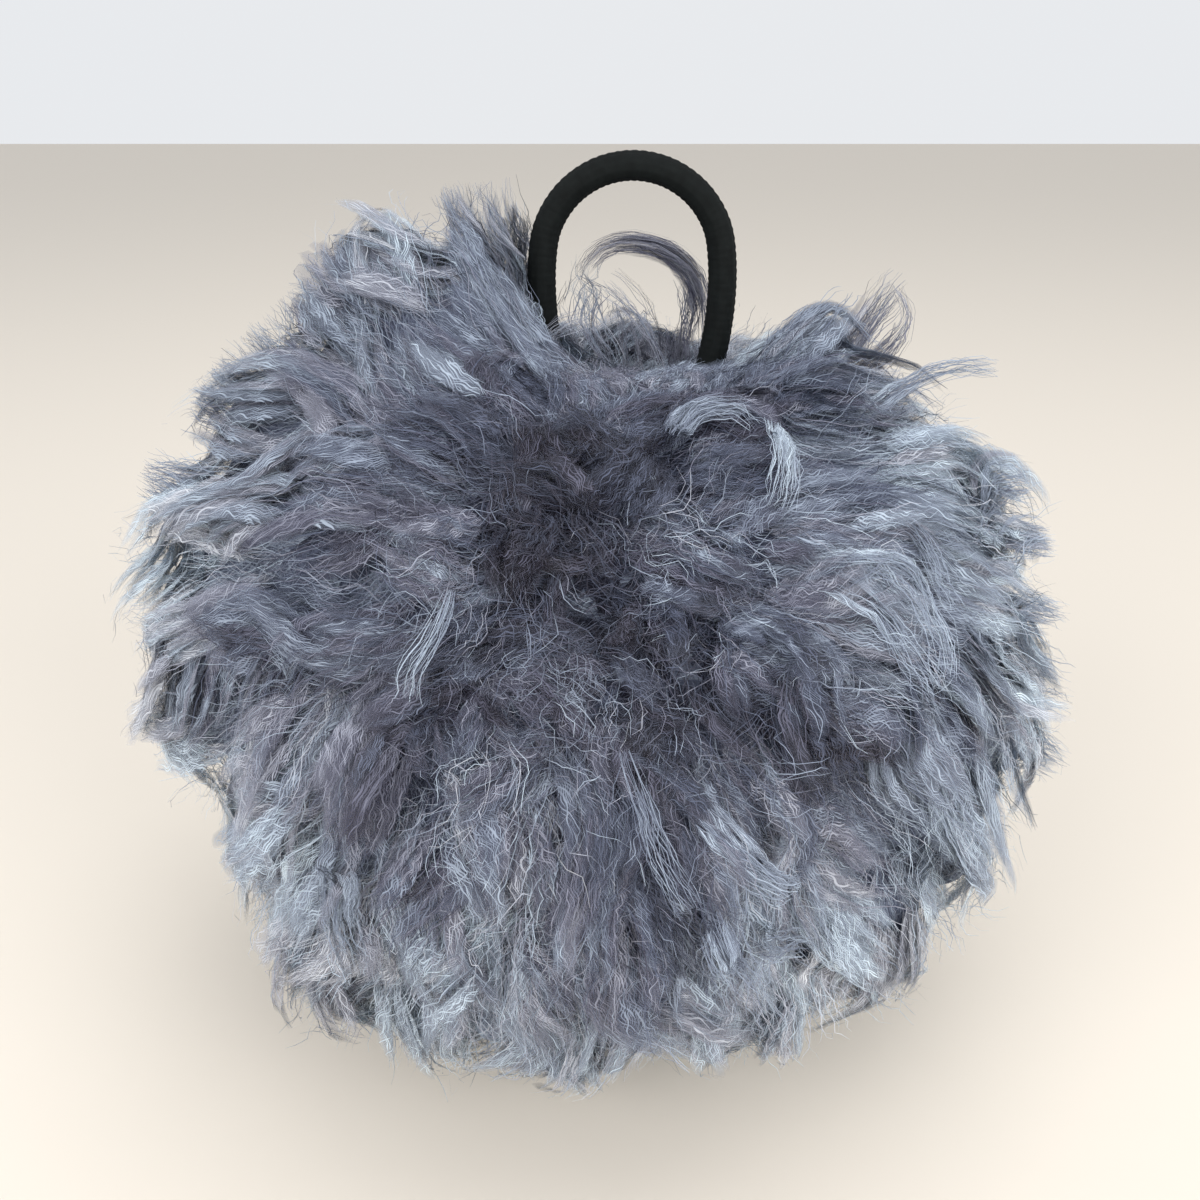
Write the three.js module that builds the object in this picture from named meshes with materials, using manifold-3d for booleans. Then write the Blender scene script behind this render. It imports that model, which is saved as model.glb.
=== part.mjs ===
// A fur pom pom: a ball of long wool pile, with a loop of round elastic cord standing on its crown.
//
// Millimetres, +Z up, with the front of the ball towards -Y. The pile rests on the plane z = 0 by a small
// flat spot, and the origin is the bottom centre of the ball's box.
import * as THREE from 'three';
import { mergeVertices } from 'three/addons/utils/BufferGeometryUtils.js';
import Module from 'manifold-3d';

const wasm = await Module();
wasm.setup();

// ---------------------------------------------------------------- driving dimensions

// The ball of pile. HEART is the middle of the ball, and BODY its half sizes between the locks.
const HEART_HEIGHT = 50;
const BODY = { x: 59, y: 57, z: 54 };
const FACETS_PER_EDGE = 19;

// The locks part at the front, where the pile is looked straight into: this far above level.
const PARTING_LIFT = 25;

// The pile droops by this much, as a share of its sweep away from the parting.
const DROOP = 0.45;

// Tufts spread evenly over the whole ball, each a lock of fibres that clings together to a point: their
// number, half sizes in degrees, the depth of the clefts between them, the highest that one stands, and how
// much their size varies, as a share of it, and their place, in radians.
const TUFTS = 210;
const TUFT = { across: 9, along: 13, cleft: 7, highest: 2.2, sizeVaries: 0.25, placeVaries: 0.1 };

// A tuft climbs along the way it lies, and falls off past its tip in this share of its length.
const TIP_SHARE = 0.5;

// The elastic cord, the circle of its arch, and where that circle's middle is.
const CORD_DIAMETER = 3.6;
const ARCH_RADIUS = 11.4;
const ARCH_MIDDLE = { x: 6.5, y: 4, z: 105.5 };
const CORD_SIDES = 12;
const CORD_STEPS = 64;
const CLEARANCE = 0.3;

// Corners nearer than this are one corner.
const SAME_PLACE = 1e-4;

// The legs below the arch: how far below its middle, and how far out from its centre line.
const LEGS = [
  { drop: 7, out: 11.3 },
  { drop: 14, out: 10.0 },
  { drop: 20, out: 7.4 },
  { drop: 26, out: 4.2 },
];
const ARCH_POINTS = 8;

// The main locks and the hollows between them. `turn` goes round the parting, 0 to the right and 90 to the
// top, and `swing` leads away from it: about 70 is the ball's outline seen from a hand's breadth in front,
// and 180 is the middle of the back. `reach` is from the ball's heart to the lock's tip, and `across` and
// `along` are the lock's half sizes. The angles are in degrees, and the reach in millimetres.
const LOCKS = [
  // the outline, from the right round over the crown
  { name: 'right cheek', turn: 357, swing: 73, reach: 64, across: 12, along: 16 },
  { name: 'right shoulder', turn: 14, swing: 73, reach: 64.5, across: 9, along: 14 },
  { name: 'right brow', turn: 28, swing: 72, reach: 65, across: 8, along: 14 },
  { name: 'bright wisp', turn: 41, swing: 72, reach: 62, across: 5, along: 12 },
  { name: 'curled wisps', turn: 49, swing: 82, reach: 67, across: 5, along: 10 },
  { name: 'right of the crown', turn: 59, swing: 70, reach: 54, across: 8, along: 12 },
  { name: 'behind the loop', turn: 76, swing: 92, reach: 58, across: 6, along: 7 },
  { name: 'high tuft', turn: 104, swing: 74, reach: 71, across: 7, along: 13 },
  { name: 'second tuft', turn: 116, swing: 72, reach: 69, across: 7, along: 14 },
  { name: 'upper left lock', turn: 130, swing: 72, reach: 66.5, across: 8, along: 16 },
  { name: 'left shoulder', turn: 147, swing: 72, reach: 65.5, across: 8, along: 16 },
  { name: 'left cheek', turn: 163, swing: 72, reach: 62.5, across: 8, along: 14 },
  { name: 'left wisp', turn: 174, swing: 73, reach: 63, across: 6, along: 12 },
  { name: 'left shelf', turn: 187, swing: 68, reach: 63, across: 8, along: 20 },
  { name: 'under the shelf', turn: 206, swing: 70, reach: 46, across: 8, along: 18 },
  { name: 'behind the shelf', turn: 206, swing: 94, reach: 48, across: 8, along: 20 },
  { name: 'lower left lock', turn: 223, swing: 68, reach: 60, across: 7, along: 14 },
  { name: 'left skirt', turn: 236, swing: 70, reach: 59, across: 8, along: 14 },
  { name: 'front skirt', turn: 254, swing: 70, reach: 57.5, across: 9, along: 13 },
  { name: 'middle skirt', turn: 275, swing: 70, reach: 56, across: 9, along: 13 },
  { name: 'right skirt', turn: 297, swing: 70, reach: 58, across: 8, along: 13 },
  { name: 'lower right lock', turn: 314, swing: 70, reach: 62, across: 8, along: 14 },
  { name: 'right lower cheek', turn: 332, swing: 71, reach: 66, across: 9, along: 14 },
  { name: 'right hip', turn: 345, swing: 72, reach: 65, across: 7, along: 14 },
  // the face, round the parting
  { name: 'parting', turn: 40, swing: 7, reach: 50, across: 8, along: 8 },
  { name: 'dip left of the parting', turn: 187, swing: 24, reach: 52, across: 6, along: 8 },
  { name: 'dip below the parting', turn: 282, swing: 20, reach: 52, across: 5, along: 8 },
  { name: 'dip at the lower right', turn: 318, swing: 44, reach: 52, across: 6, along: 9 },
  { name: 'over the parting', turn: 95, swing: 24, reach: 58, across: 13, along: 10 },
  { name: 'left of the face', turn: 165, swing: 36, reach: 60, across: 11, along: 13 },
  { name: 'upper left face', turn: 135, swing: 42, reach: 60, across: 11, along: 13 },
  { name: 'lower left face', turn: 215, swing: 38, reach: 60, across: 10, along: 13 },
  { name: 'lower face', turn: 262, swing: 38, reach: 60, across: 10, along: 13 },
  { name: 'lower right face', turn: 300, swing: 34, reach: 60, across: 9, along: 12 },
  { name: 'right of the face', turn: 345, swing: 32, reach: 60.5, across: 11, along: 13 },
  { name: 'bright arcs', turn: 12, swing: 42, reach: 61.5, across: 9, along: 12 },
  { name: 'at the right foot', turn: 62, swing: 44, reach: 56, across: 9, along: 9 },
  { name: 'before the loop', turn: 84, swing: 46, reach: 50, across: 8, along: 8 },
  { name: 'at the left foot', turn: 112, swing: 52, reach: 58, across: 8, along: 10 },
  { name: 'crown', turn: 82, swing: 70, reach: 42, across: 10, along: 11 },
  // the base and the back
  { name: 'seat', turn: 270, swing: 115, reach: 59, across: 22, along: 22 },
  { name: 'back crown', turn: 95, swing: 124, reach: 60, across: 12, along: 12 },
  { name: 'back left', turn: 160, swing: 128, reach: 60, across: 14, along: 14 },
  { name: 'back right', turn: 20, swing: 130, reach: 61, across: 13, along: 13 },
  { name: 'back lower left', turn: 225, swing: 128, reach: 59, across: 12, along: 12 },
  { name: 'back lower right', turn: 310, swing: 130, reach: 60, across: 12, along: 12 },
  { name: 'middle of the back', turn: 90, swing: 164, reach: 60, across: 13, along: 12 },
  { name: 'dip in the back', turn: 250, swing: 156, reach: 53, across: 8, along: 12 },
];

const FUR = new THREE.MeshStandardMaterial({ color: 0x74798a, roughness: 0.85, metalness: 0 });
const ELASTIC = new THREE.MeshStandardMaterial({ color: 0x17191b, roughness: 0.7, metalness: 0 });

// ---------------------------------------------------------------- directions on the ball

const DEGREE = Math.PI / 180;
const DOWN = new THREE.Vector3(0, 0, -1);
const RIGHT = new THREE.Vector3(1, 0, 0);
const PARTING = new THREE.Vector3(0, -Math.cos(PARTING_LIFT * DEGREE), Math.sin(PARTING_LIFT * DEGREE));
const OVER = new THREE.Vector3().crossVectors(RIGHT, PARTING).negate();

// The direction from the heart at a turn round the parting and a swing away from it.
function direction(turn, swing) {
  const round = RIGHT.clone().multiplyScalar(Math.cos(turn * DEGREE));
  round.addScaledVector(OVER, Math.sin(turn * DEGREE));
  const away = Math.sin(swing * DEGREE);
  return round.multiplyScalar(away).addScaledVector(PARTING, Math.cos(swing * DEGREE));
}

// The part of a vector that lies along the ball's surface at a direction.
function alongSurface(vector, at) {
  return vector.clone().addScaledVector(at, -vector.dot(at));
}

// The way that the pile lies: away from the parting in front, away from the middle of the back behind,
// and drooping everywhere.
function lie(at) {
  const facing = at.dot(PARTING);
  const way = alongSurface(PARTING, at).multiplyScalar(-facing);
  way.addScaledVector(alongSurface(DOWN, at), DROOP);
  return way.lengthSq() > 0 ? way.normalize() : way;
}

// ---------------------------------------------------------------- the pile's surface

// The half size of the ball between the locks, from its heart.
function bodyRadius(at) {
  return 1 / Math.hypot(at.x / BODY.x, at.y / BODY.y, at.z / BODY.z);
}

// A lock or tuft at a direction. `tip` is how high it stands: from the heart for a main lock, and above the
// outline for a tuft. Its half sizes come in degrees.
function lock(at, tip, across, along) {
  const way = lie(at);
  const side = new THREE.Vector3().crossVectors(at, way);
  return { at, way, side, tip, across: across * DEGREE, along: along * DEGREE };
}

// A number from 0 to 1 that looks random and is the same on every run.
function scatter(index, salt) {
  const wave = Math.sin(index * 12.9898 + salt * 78.233) * 43758.5453;
  return wave - Math.floor(wave);
}

// Tufts at nearly even places, which a spiral by the golden angle gives.
function evenTufts() {
  const golden = Math.PI * (3 - Math.sqrt(5));
  return Array.from({ length: TUFTS }, (_, i) => {
    const z = 1 - (2 * i + 1) / TUFTS;
    const ring = Math.sqrt(1 - z * z);
    const round = i * golden + TUFT.placeVaries * scatter(i, 1);
    const at = new THREE.Vector3(ring * Math.cos(round), ring * Math.sin(round), z);
    const size = 1 + TUFT.sizeVaries * (2 * scatter(i, 2) - 1);
    return lock(at, TUFT.highest * scatter(i, 3), TUFT.across * size, TUFT.along * size);
  });
}

// How far a direction is from a lock's tip, sideways and along the way it lies, both in its half sizes.
function offset(one, at) {
  const angle = one.at.angleTo(at);
  const off = alongSurface(at, one.at).setLength(angle);
  const onwards = off.dot(one.way) / one.along;
  return Math.hypot(off.dot(one.side) / one.across, onwards > 0 ? onwards / TIP_SHARE : onwards);
}

const tufts = evenTufts();
const main = LOCKS.map((row) => lock(direction(row.turn, row.swing), row.reach, row.across, row.along));

// The ball's outline over its main locks: each draws the surface to its reach, less and less away from
// its tip.
function outlineRadius(at) {
  const between = bodyRadius(at);
  let total = 0;
  let rise = 0;
  for (const one of main) {
    const part = Math.exp(-(offset(one, at) ** 2));
    total += part;
    rise += part * (one.tip - between);
  }
  return between + rise / Math.max(1, total);
}

// The tufts stand up to the outline, with clefts between them. The nearest tuft makes the surface.
function tuftHeight(at) {
  const heights = tufts.map((one) => one.tip - TUFT.cleft * offset(one, at));
  return Math.max(-TUFT.cleft, ...heights);
}

// The distance from the heart to the pile's surface. Straight rays to the flat spot end on z = 0.
function pileRadius(at) {
  const radius = outlineRadius(at) + tuftHeight(at);
  return at.z < 0 ? Math.min(radius, HEART_HEIGHT / -at.z) : radius;
}

// ---------------------------------------------------------------- solids

// A copy of a geometry whose faces share their corners.
function joined(geometry) {
  const plain = geometry.clone();
  plain.deleteAttribute('normal');
  plain.deleteAttribute('uv');
  return mergeVertices(plain, SAME_PLACE);
}

function solid(geometry) {
  const merged = joined(geometry);
  return new wasm.Manifold(new wasm.Mesh({
    numProp: 3,
    vertProperties: Float32Array.from(merged.attributes.position.array),
    triVerts: Uint32Array.from(merged.index.array),
  }));
}

function geometryOf(manifold) {
  const mesh = manifold.getMesh();
  const geometry = new THREE.BufferGeometry();
  geometry.setAttribute('position', new THREE.BufferAttribute(mesh.vertProperties, 3));
  geometry.setIndex(new THREE.BufferAttribute(mesh.triVerts, 1));
  geometry.computeVertexNormals();
  return geometry;
}

// The ball: a sphere of even facets, each corner moved out to the pile's surface.
function ballGeometry() {
  const ball = joined(new THREE.IcosahedronGeometry(1, FACETS_PER_EDGE - 1));
  const place = ball.attributes.position;
  const at = new THREE.Vector3();
  for (let i = 0; i < place.count; i++) {
    at.fromBufferAttribute(place, i).normalize();
    at.multiplyScalar(pileRadius(at));
    place.setXYZ(i, at.x, at.y, at.z + HEART_HEIGHT);
  }
  return ball;
}

// How far the ball has to move for its box to stand on the origin.
function toBoxCentre(geometry) {
  geometry.computeBoundingBox();
  const middle = geometry.boundingBox.getCenter(new THREE.Vector3());
  return new THREE.Vector3(-middle.x, -middle.y, 0);
}

// The cord's centre line: up the left leg, over the arch and down the right leg, with both legs lengthened
// by `past`.
function loopPath(past) {
  const points = [];
  const add = (out, up) => {
    points.push(new THREE.Vector3(ARCH_MIDDLE.x + out, ARCH_MIDDLE.y, ARCH_MIDDLE.z + up));
  };
  const foot = LEGS[LEGS.length - 1];
  const before = LEGS[LEGS.length - 2];
  const slope = new THREE.Vector2(foot.out - before.out, foot.drop - before.drop).setLength(past);
  const end = { out: foot.out + slope.x, drop: foot.drop + slope.y };
  const leg = [...LEGS.slice(0, -1), end];
  [...leg].reverse().forEach(({ drop, out }) => add(-out, -drop));
  for (let i = 0; i <= ARCH_POINTS; i++) {
    const turn = Math.PI * (1 - i / ARCH_POINTS);
    add(ARCH_RADIUS * Math.cos(turn), ARCH_RADIUS * Math.sin(turn));
  }
  leg.forEach(({ drop, out }) => add(out, -drop));
  return new THREE.CatmullRomCurve3(points, false, 'centripetal');
}

function cordGeometry(radius, past) {
  const section = new THREE.Shape();
  for (let i = 0; i < CORD_SIDES; i++) {
    const turn = (2 * Math.PI * i) / CORD_SIDES;
    section[i ? 'lineTo' : 'moveTo'](radius * Math.cos(turn), radius * Math.sin(turn));
  }
  return new THREE.ExtrudeGeometry(section, { steps: CORD_STEPS, extrudePath: loopPath(past) });
}

// ---------------------------------------------------------------- the pieces

// The pile parts round each leg of the loop, and leaves it a little room.
function furBall(geometry) {
  const pocket = solid(cordGeometry(CORD_DIAMETER / 2 + CLEARANCE, CLEARANCE));
  const mesh = new THREE.Mesh(geometryOf(solid(geometry).subtract(pocket)), FUR);
  mesh.name = 'fur_ball';
  return mesh;
}

function elasticLoop() {
  const mesh = new THREE.Mesh(cordGeometry(CORD_DIAMETER / 2, 0), ELASTIC);
  mesh.name = 'elastic_loop';
  return mesh;
}

const ball = ballGeometry();
const pomPom = new THREE.Group();
pomPom.name = 'fur_pom_pom';
pomPom.add(furBall(ball), elasticLoop());
pomPom.position.copy(toBoxCentre(ball));

export default pomPom;
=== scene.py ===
# %% [markdown]
# # A fur pom pom with an elastic loop
# The real thing is a round of long-woolled skin, drawn up into a ball by a gathering stitch, with a loop
# of elastic cord caught in the gathering. Nearly all that is seen of it is fibres, so this lesson is
# about hair made as real geometry: guide curves laid by a few rules, and a Geometry Nodes tree that grows
# fibres along them.

# %% Libraries, two helpers and the solid model's parts
import math

import bpy
import numpy as np
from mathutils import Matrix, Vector
from mathutils.bvhtree import BVHTree


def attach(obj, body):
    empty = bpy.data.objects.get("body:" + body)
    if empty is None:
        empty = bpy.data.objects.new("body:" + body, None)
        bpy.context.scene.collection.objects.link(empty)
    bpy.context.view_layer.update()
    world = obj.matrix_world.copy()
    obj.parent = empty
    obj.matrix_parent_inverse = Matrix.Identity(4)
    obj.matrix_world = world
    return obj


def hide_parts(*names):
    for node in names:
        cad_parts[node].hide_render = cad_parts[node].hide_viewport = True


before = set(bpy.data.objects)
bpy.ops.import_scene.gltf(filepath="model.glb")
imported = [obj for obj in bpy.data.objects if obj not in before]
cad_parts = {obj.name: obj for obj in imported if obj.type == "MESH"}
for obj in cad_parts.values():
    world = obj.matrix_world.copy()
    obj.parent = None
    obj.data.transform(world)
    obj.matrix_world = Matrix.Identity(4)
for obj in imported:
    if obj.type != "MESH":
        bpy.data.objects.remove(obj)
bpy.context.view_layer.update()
MM = 0.001
BODY = "root"

# %% [markdown]
# ## Camera
# The ball fills the view from a hand's breadth away, which makes the near locks look large and hides more
# than half of the ball. A wide lens close by gives that; a long lens far off would flatten it.

# %% Camera
HEART = np.array([0.0, 0.0, 50 * MM])  # the ball's middle, from which all directions are counted
PARTING_LIFT = math.radians(25)  # the pile parts in front, this far above level
PARTING = np.array([0.0, -math.cos(PARTING_LIFT), math.sin(PARTING_LIFT)])
CAMERA_DISTANCE = 180 * MM
CAMERA_ASIDE = 1.7 * MM
CAMERA_TILT = math.radians(21.8)
CAMERA_FIELD = math.radians(50)


def add_object(name, data):
    obj = bpy.data.objects.new(name, data)
    bpy.context.scene.collection.objects.link(obj)
    return obj


def add_camera():
    data = bpy.data.cameras.new("camera")
    data.angle = CAMERA_FIELD
    data.clip_start = 1 * MM
    camera = add_object("camera", data)
    camera.location = Vector(HEART + CAMERA_DISTANCE * PARTING) + Vector((CAMERA_ASIDE, 0, 0))
    camera.rotation_euler = (math.pi / 2 - CAMERA_TILT, 0, 0)
    bpy.context.scene.camera = camera
    return camera


print("camera at", [round(x, 3) for x in add_camera().location])

# %% [markdown]
# ## Node helpers
# Trees of nodes read best as sums. One small class wraps a socket and turns Python's operators into Math
# or Vector Math nodes, and one method adds any other node. Materials and Geometry Nodes both use them.

# %% Sockets that can be added and multiplied
def operator(operation, swap=False):
    """A method that joins its socket to others by one kind of Math node."""
    return lambda self, *others: self.combine(operation, *others, swap=swap)


class Socket:
    """An output socket in a tree. Operators on it add Math nodes, or Vector Math nodes for vectors."""

    def __init__(self, graph, socket):
        self.graph, self.socket = graph, socket

    def combine(self, operation, *others, swap=False):
        terms = [*others, self] if swap else [self, *others]
        vector = any(is_vector(t) for t in terms)
        kind = "ShaderNodeVectorMath" if vector else "ShaderNodeMath"
        return self.graph.add(kind, {"operation": operation}, dict(enumerate(terms)))

    def __mul__(self, other):
        if is_vector(self) and not is_vector(other):
            return self.graph.add("ShaderNodeVectorMath", {"operation": "SCALE"}, {0: self, "Scale": other})
        return self.combine("MULTIPLY", other)

    __rmul__ = __mul__
    __add__ = operator("ADD")
    __sub__, __rsub__ = operator("SUBTRACT"), operator("SUBTRACT", swap=True)
    __truediv__, __rtruediv__ = operator("DIVIDE"), operator("DIVIDE", swap=True)
    __pow__ = operator("POWER")
    sine, cosine, root = operator("SINE"), operator("COSINE"), operator("SQRT")
    floor, rounded, size = operator("FLOOR"), operator("ROUND"), operator("ABSOLUTE")
    at_least, at_most = operator("MAXIMUM"), operator("MINIMUM")


def is_vector(term):
    if isinstance(term, Socket):
        return term.socket.type in {"VECTOR", "RGBA"}
    return isinstance(term, (tuple, list))


# %% A tree of nodes under construction
class Graph:
    """A node tree, with one way to add any node to it."""

    def __init__(self, tree):
        self.tree = tree

    def add(self, kind, settings=None, inputs=None, out=0):
        """Adds a node, with its inputs by name, identifier or number, and returns one of its outputs."""
        node = self.tree.nodes.new(kind)
        for name, value in (settings or {}).items():
            if name == "stops":
                set_stops(node.color_ramp, value)
            else:
                setattr(node, name, value)
        for key, value in (inputs or {}).items():
            socket = node.inputs[key] if isinstance(key, int) else find_socket(node.inputs, key)
            if isinstance(value, Socket):
                self.tree.links.new(value.socket, socket)
            else:
                socket.default_value = value
        return self.output(node, out)

    def output(self, node, key):
        return Socket(self, node.outputs[key] if isinstance(key, int) else find_socket(node.outputs, key))

    def split(self, vector):
        """The x, y and z of a vector."""
        node = self.tree.nodes.new("ShaderNodeSeparateXYZ")
        self.tree.links.new(vector.socket, node.inputs[0])
        return [Socket(self, part) for part in node.outputs]


def find_socket(sockets, key):
    """The enabled socket of that name or identifier: many nodes have hidden twins for other data types."""
    return next(s for s in sockets if s.enabled and key in (s.identifier, s.name))


def set_stops(ramp, stops):
    while len(ramp.elements) > 1:
        ramp.elements.remove(ramp.elements[-1])
    for i, (place, colour) in enumerate(stops):
        stop = ramp.elements[0] if i == 0 else ramp.elements.new(place)
        stop.position = place
        stop.color = (*colour, 1)


def new_material(name):
    material = bpy.data.materials.new(name)
    material.use_nodes = True
    material.node_tree.nodes.clear()
    return material, Graph(material.node_tree)


def finish_material(g, surface):
    """Ends a material's tree in one principled surface that has these inputs."""
    shader = g.add("ShaderNodeBsdfPrincipled", {}, surface)
    end = g.tree.nodes.new("ShaderNodeOutputMaterial")
    g.tree.links.new(shader.socket, end.inputs["Surface"])


def unit(v):
    return v / np.maximum(np.linalg.norm(v, axis=-1, keepdims=True), 1e-12)


# %% [markdown]
# ## The elastic loop
# One length of elastic is bent into an arch, and both its legs are caught in the gathering at the top.
# Its route is the solid model's own, so it is written out again here: an arch, and legs that draw
# together under it.

# %% Route of the loop
CORD_DIAMETER = 3.6 * MM
ARCH_RADIUS = 11.4 * MM
ARCH_MIDDLE = np.array([5.78, 4.27, 105.5]) * MM
LEGS = [(7, 11.3), (14, 10.0), (20, 7.4), (26, 4.2)]  # mm below the arch's middle, mm out from it
ARCH_POINTS = 8
CORD_STEPS = 270
CURVE_STEPS = 40  # between two points of a route, before it is cut evenly


def loop_route():
    """The points that the loop's middle line goes through, from its left foot to its right one."""
    legs = [(out * MM, -drop * MM) for drop, out in LEGS]
    turns = math.pi * (1 - np.arange(ARCH_POINTS + 1) / ARCH_POINTS)
    arch = [(ARCH_RADIUS * math.cos(turn), ARCH_RADIUS * math.sin(turn)) for turn in turns]
    flat = [(-out, up) for out, up in reversed(legs)] + arch + legs
    return ARCH_MIDDLE + np.array([(out, 0, up) for out, up in flat])


def smooth_route(points, steps):
    """A centripetal Catmull-Rom curve through the points, cut into even steps."""
    ends = [2 * points[0] - points[1], *points, 2 * points[-1] - points[-2]]
    knots = np.concatenate([[0], np.cumsum(np.linalg.norm(np.diff(ends, axis=0), axis=1) ** 0.5)])
    line = []
    for i in range(1, len(ends) - 2):
        p, k = ends[i - 1 : i + 3], knots[i - 1 : i + 3]
        for t in np.linspace(k[1], k[2], CURVE_STEPS, endpoint=i == len(ends) - 3):
            a = [p[j] + (p[j + 1] - p[j]) * (t - k[j]) / (k[j + 1] - k[j]) for j in range(3)]
            b = [a[j] + (a[j + 1] - a[j]) * (t - k[j]) / (k[j + 2] - k[j]) for j in range(2)]
            line.append(b[0] + (b[1] - b[0]) * (t - k[1]) / (k[2] - k[1]))
    line = np.array(line)
    run = np.concatenate([[0], np.cumsum(np.linalg.norm(np.diff(line, axis=0), axis=1))])
    even = np.linspace(0, run[-1], steps + 1)
    return np.stack([np.interp(even, run, line[:, i]) for i in range(3)], axis=1), run[-1]


CORD_LINE, CORD_LENGTH = smooth_route(loop_route(), CORD_STEPS)
print("the loop is", round(CORD_LENGTH / MM, 1), "mm long")

# %% [markdown]
# ## The cord's braided cover
# Round elastic is a bundle of rubber threads under a braided cover, and the cover is what shows: black
# diamonds a millimetre long. A swept circle would look like plastic tube, so the tube's rings are pushed
# in and out by the braid, strand over strand, and a finer thread is left to the material.

# %% The braided tube
CORD_SIDES = 36
BRAID_STRANDS = 12
BRAID_EVERY = 1.9 * MM
BRAID_RELIEF = 0.07 * MM


def braid_height(turn, run):
    """From -1 to 1: strands wound both ways, each over the next and under the one after."""
    around, along = BRAID_STRANDS / 2 * turn, 2 * math.pi * run / BRAID_EVERY
    over = np.sin(around + along) * np.sin(around - along)
    return np.sign(over) * np.abs(over) ** 0.6


def tube_rings():
    """The cord's corners, one ring at each step, pushed in and out by the braid."""
    run = np.linspace(0, CORD_LENGTH, CORD_STEPS + 1)
    turn = np.arange(CORD_SIDES) * 2 * math.pi / CORD_SIDES
    ahead, aside = unit(np.gradient(CORD_LINE, axis=0)), np.array([0.0, 1.0, 0.0])
    across = np.cross(ahead, aside)
    radius = CORD_DIAMETER / 2 + BRAID_RELIEF * braid_height(turn[None, :], run[:, None])
    ring = across[:, None] * np.cos(turn)[None, :, None] + aside * np.sin(turn)[None, :, None]
    return CORD_LINE[:, None] + ring * radius[..., None]


def tube_faces():
    """Four-sided faces between the rings, and one flat face at each end."""
    start, here = np.arange(CORD_STEPS)[:, None] * CORD_SIDES, np.arange(CORD_SIDES)[None, :]
    first, second = start + here, start + (here + 1) % CORD_SIDES
    quads = np.stack([first, second, second + CORD_SIDES, first + CORD_SIDES], axis=-1).reshape(-1, 4)
    last_ring = CORD_STEPS * CORD_SIDES
    return [*quads.tolist(), list(range(CORD_SIDES))[::-1], list(range(last_ring, last_ring + CORD_SIDES))]


def add_cover_map(mesh):
    """The tube's own map: the turn round it and the run along it, each from 0 to 1."""
    corner = np.empty(len(mesh.loops), dtype=np.int32)
    mesh.loops.foreach_get("vertex_index", corner)
    column = corner % CORD_SIDES
    wraps = (np.roll(column, 1) == CORD_SIDES - 1) | (np.roll(column, -1) == CORD_SIDES - 1)
    turn = np.where((column == 0) & wraps, CORD_SIDES, column) / CORD_SIDES
    run = corner // CORD_SIDES / CORD_STEPS
    mesh.uv_layers.new(name="cover").data.foreach_set("uv", np.stack([turn, run], axis=1).ravel())


def braided_tube():
    mesh = bpy.data.meshes.new("braided_loop")
    mesh.from_pydata(tube_rings().reshape(-1, 3).tolist(), [], tube_faces())
    add_cover_map(mesh)
    mesh.shade_smooth()
    mesh.update()
    return add_object("braided_loop", mesh)


# %% Black elastic, and the loop on the body
ELASTIC_STOPS = [(0.25, (0.001, 0.0015, 0.0015)), (0.75, (0.006, 0.008, 0.008))]
THREADS = 90  # round the cord
THREAD_WAVES = 150  # along the cord
THREAD_SWING = 2.0


def elastic_material():
    material, g = new_material("black_elastic")
    turn, run, _ = g.split(g.add("ShaderNodeUVMap", {"uv_map": "cover"}))
    swing = (run * (2 * math.pi * THREAD_WAVES)).sine() * THREAD_SWING
    threads = (turn * (2 * math.pi * THREADS) + swing).sine() * 0.5 + 0.5
    worn = g.add("ShaderNodeTexCoord", out="Object")
    dust = g.add("ShaderNodeTexNoise", {}, {"Vector": worn, "Scale": 700.0, "Detail": 3.0}, out="Fac")
    colour = g.add("ShaderNodeValToRGB", {"stops": ELASTIC_STOPS}, {"Fac": threads * 0.4 + dust * 0.6})
    bump = g.add("ShaderNodeBump", {}, {"Height": threads, "Strength": 0.5, "Distance": 0.05 * MM})
    finish_material(g, {"Base Color": colour, "Roughness": 0.7, "Specular IOR Level": 0.12, "Normal": bump})
    return material


loop = braided_tube()
loop.data.materials.append(elastic_material())
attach(loop, BODY)
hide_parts("elastic_loop")
loop.data.calc_loop_triangles()
print("the loop has", len(loop.data.loop_triangles), "triangles")

# %% [markdown]
# ## Where the pile reaches and how it lies
# The solid model already has the ball's true outline, with its main locks, so its surface is asked how
# far the pile reaches in any direction. The pile lies away from the parting at the front, and droops.

# %% How far the pile reaches
RAY_START = 0.2  # well outside the ball, in metres
TUFTS_APART = 0.09  # in radians
OFF_THE_FLOOR = 4 * MM

ball_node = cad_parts["fur_ball"]


def surface_of(mesh):
    """A mesh as a surface that rays can meet."""
    corners, faces = [v.co.copy() for v in mesh.vertices], [tuple(p.vertices) for p in mesh.polygons]
    return BVHTree.FromPolygons(corners, faces)


def far_out(surface, at):
    """How far the surface is from the heart in each of these directions, in any shape of array."""
    heart = Vector(HEART)
    ways = (Vector(d) for d in at.reshape(-1, 3))
    hits = (surface.ray_cast(heart + RAY_START * way, -way)[0] for way in ways)
    return np.array([(hit - heart).length for hit in hits]).reshape(at.shape[:-1])


ball_surface = surface_of(ball_node.data)


def reach(at):
    """How far the pile reaches."""
    return far_out(ball_surface, at)


def tuft_tops():
    """The directions of the solid model's tufts: corners of its surface that no near one stands above."""
    places = np.unique([tuple(round(x, 6) for x in v.co) for v in ball_node.data.vertices], axis=0)
    places = places[places[:, 2] > OFF_THE_FLOOR]
    at, far = unit(places - HEART), np.linalg.norm(places - HEART, axis=1)
    near = at @ at.T > math.cos(TUFTS_APART)
    highest = np.where(near, far[None, :], 0).max(axis=1)
    return at[far >= highest - 1e-9]


print("reach in front, to the right and up:", reach(np.array([PARTING, [1, 0, 0], [0, 0, 1]])))

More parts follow.
